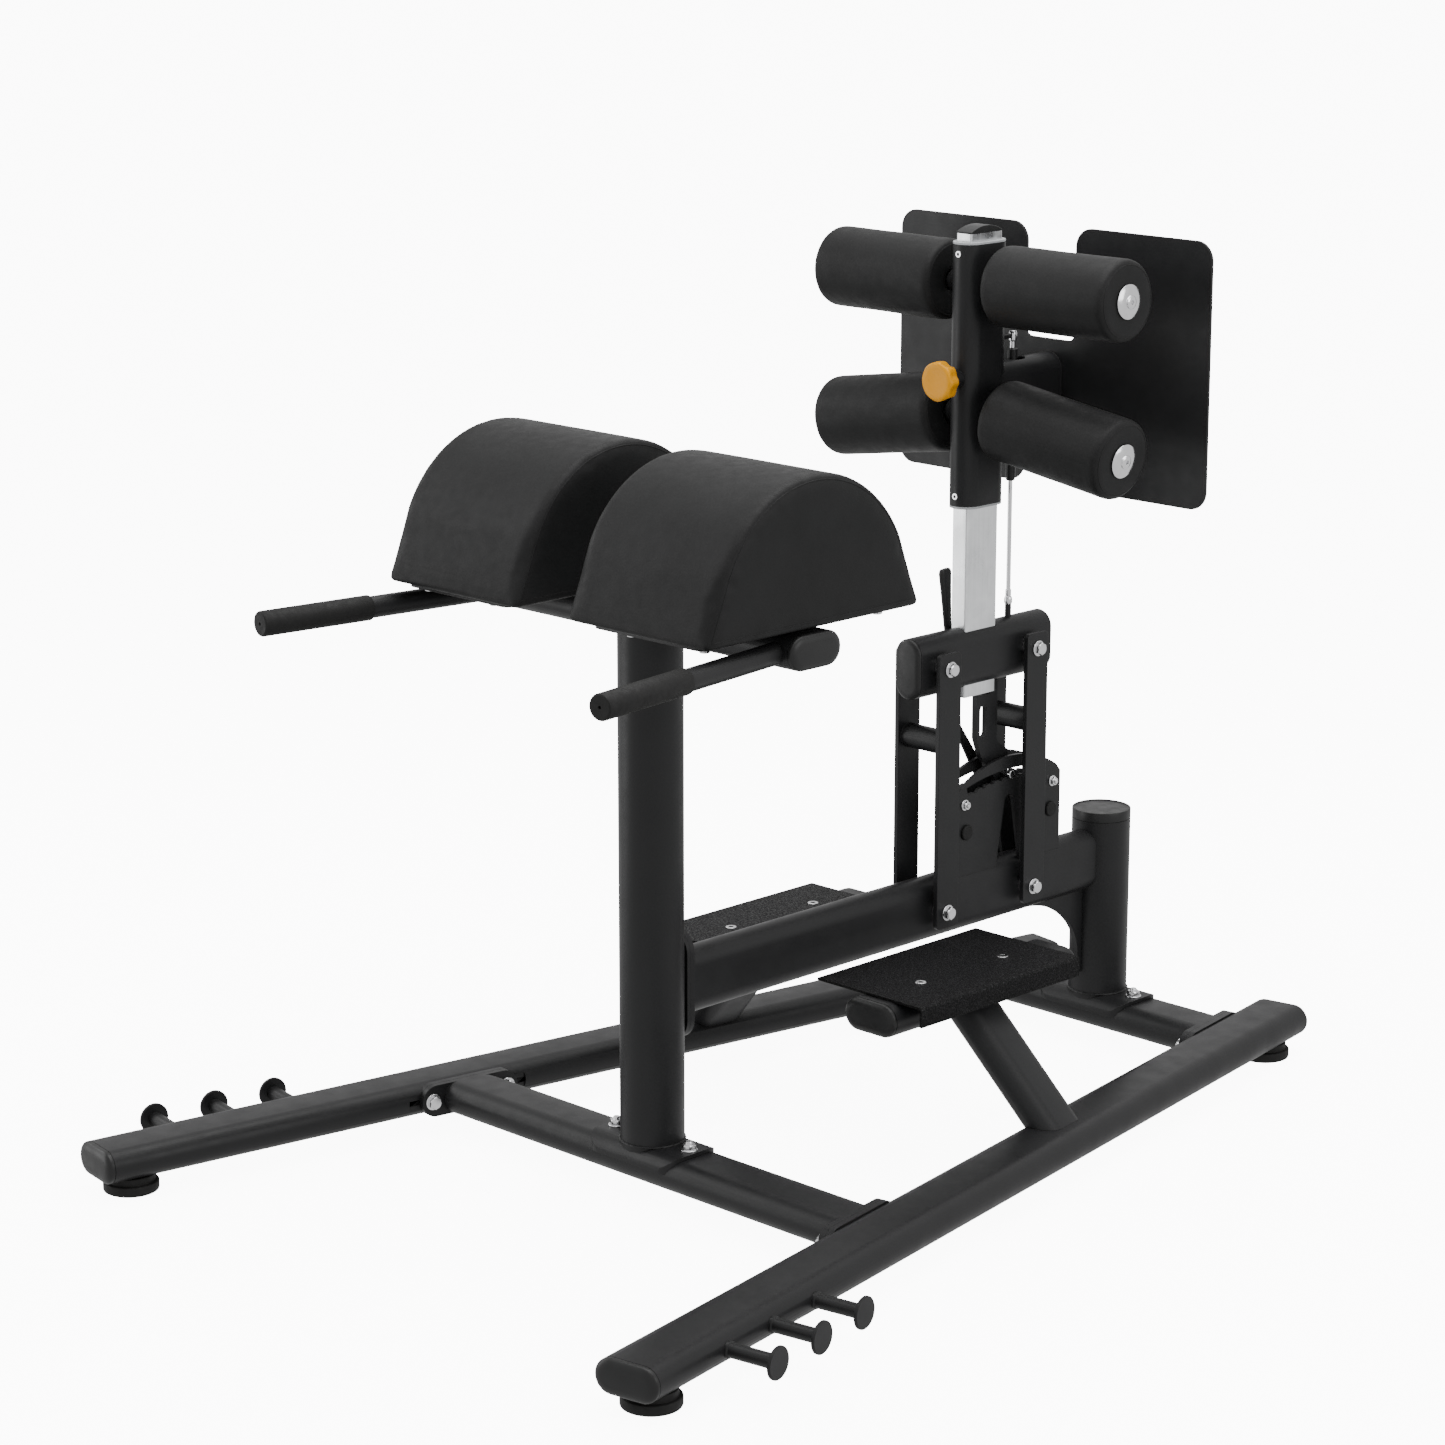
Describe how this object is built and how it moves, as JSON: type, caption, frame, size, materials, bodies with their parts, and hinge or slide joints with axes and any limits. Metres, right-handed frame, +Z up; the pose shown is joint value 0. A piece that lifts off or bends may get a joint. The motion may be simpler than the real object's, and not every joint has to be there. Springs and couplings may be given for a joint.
{
  "type": "roman chair",
  "caption": "Glute-ham bench on splayed rails: split domed hip pads, side handles, steps, and a parallel-link carriage whose sliding sleeve holds ankle rollers and a foot plate.",
  "frame": {"origin": "on the floor under the middle of the overall bounding box", "axes": "+Z up, +Y along the bench from the hip pads to the ankle rollers, +X to the right of someone who faces +Y"},
  "size_m": [1.3244, 1.794, 1.3612],
  "materials": {
    "powder_black": "satin black powder coat",
    "vinyl_black": "fine-grained black upholstery vinyl",
    "plastic_black": "satin moulded plastic",
    "rubber_black": "matte rubber",
    "grit_black": "coarse anti-slip grit coating",
    "steel_brushed": "brushed zinc-plated steel",
    "chrome": "bright plated",
    "bush_grey": "matte moulded plastic",
    "amber_plastic": "glossy amber plastic"
  },
  "bodies": {
    "frame": {"left_rail": "powder_black", "right_rail": "powder_black", "left_rail_front_cap": "plastic_black", "left_rail_rear_cap": "plastic_black", "right_rail_front_cap": "plastic_black", "right_rail_rear_cap": "plastic_black", "left_front_foot": "rubber_black", "left_rear_foot": "rubber_black", "right_front_foot": "rubber_black", "right_rear_foot": "rubber_black", "front_cross_member": "powder_black", "rear_cross_member": "powder_black", "front_upright": "powder_black", "rear_upright": "powder_black", "rear_upright_cap": "plastic_black", "main_beam": "powder_black", "left_step_bracket": "powder_black", "right_step_bracket": "powder_black", "left_step_plate": "grit_black", "right_step_plate": "grit_black", "left_quadrant_plate": "powder_black", "right_quadrant_plate": "powder_black", "front_spacer_bolt": "chrome", "rear_spacer_bolt": "chrome", "handle_crossbar": "powder_black", "left_grip": "rubber_black", "right_grip": "rubber_black", "left_pad": "vinyl_black", "right_pad": "vinyl_black", "left_pad_plate": "powder_black", "right_pad_plate": "powder_black", "front_lower_axle": "chrome", "rear_lower_axle": "chrome"},
    "front_link": {"front_link": "powder_black"},
    "rear_link": {"rear_link": "powder_black"},
    "carriage": {"carriage_tube": "powder_black", "carriage_front_cap": "plastic_black", "carriage_rear_cap": "plastic_black", "mast": "steel_brushed", "mast_cap": "plastic_black", "lock_hanger": "powder_black", "front_upper_axle": "chrome", "rear_upper_axle": "chrome", "gas_spring_rod": "chrome"},
    "lock_lever": {"lock_lever": "plastic_black", "lock_pin": "chrome"},
    "sleeve": {"sleeve": "powder_black", "upper_bush": "bush_grey", "lower_bush": "bush_grey", "foot_plate": "powder_black", "gas_spring_cylinder": "plastic_black", "upper_left_roller_cap": "chrome", "upper_right_roller_cap": "chrome", "lower_left_roller_cap": "chrome", "lower_right_roller_cap": "chrome"},
    "upper_left_roller": {"upper_left_roller": "vinyl_black"},
    "upper_right_roller": {"upper_right_roller": "vinyl_black"},
    "lower_left_roller": {"lower_left_roller": "vinyl_black"},
    "lower_right_roller": {"lower_right_roller": "vinyl_black"},
    "height_pin": {"height_pin_knob": "amber_plastic"}
  },
  "joints": [
    {"name": "front_link_swing", "type": "hinge", "parent": "frame", "child": "front_link", "pos_m": [0, 0.297, 0.31], "axis": [1, 0, 0], "range_deg": [-12, 12]},
    {"name": "rear_link_swing", "type": "hinge", "parent": "frame", "child": "rear_link", "pos_m": [0, 0.501, 0.31], "axis": [1, 0, 0], "range_deg": [-12, 12]},
    {"name": "carriage_level", "type": "hinge", "parent": "front_link", "child": "carriage", "pos_m": [0, 0.297, 0.696], "axis": [1, 0, 0], "range_deg": [-12, 12]},
    {"name": "lock_lever_pull", "type": "hinge", "parent": "carriage", "child": "lock_lever", "pos_m": [-0.0315, 0.4535, 0.4975], "axis": [1, 0, 0], "range_deg": [0, 12], "stiffness_Nm_per_rad": 0.8, "springref_deg": -22.92},
    {"name": "sleeve_slide", "type": "slide", "parent": "carriage", "child": "sleeve", "axis": [0, 0, 1], "range_m": [-0.15, 0]},
    {"name": "upper_left_roller_spin", "type": "hinge", "parent": "sleeve", "child": "upper_left_roller", "pos_m": [-0.05, 0.4, 1.2725], "axis": [-1, 0, 0], "continuous": true},
    {"name": "upper_right_roller_spin", "type": "hinge", "parent": "sleeve", "child": "upper_right_roller", "pos_m": [0.05, 0.4, 1.2725], "axis": [1, 0, 0], "continuous": true},
    {"name": "lower_left_roller_spin", "type": "hinge", "parent": "sleeve", "child": "lower_left_roller", "pos_m": [-0.05, 0.4, 1.0706], "axis": [-0.9894, 0, -0.1452], "continuous": true},
    {"name": "lower_right_roller_spin", "type": "hinge", "parent": "sleeve", "child": "lower_right_roller", "pos_m": [0.05, 0.4, 1.0706], "axis": [0.9894, 0, -0.1452], "continuous": true},
    {"name": "height_pin_pull", "type": "slide", "parent": "sleeve", "child": "height_pin", "axis": [0, -1, 0], "range_m": [0, 0.012], "stiffness_N_per_m": 800, "springref_m": -0.012}
  ],
  "couplings": [
    {"joint": "rear_link_swing", "follows": "front_link_swing", "ratio": 1},
    {"joint": "carriage_level", "follows": "front_link_swing", "ratio": -1}
  ]
}
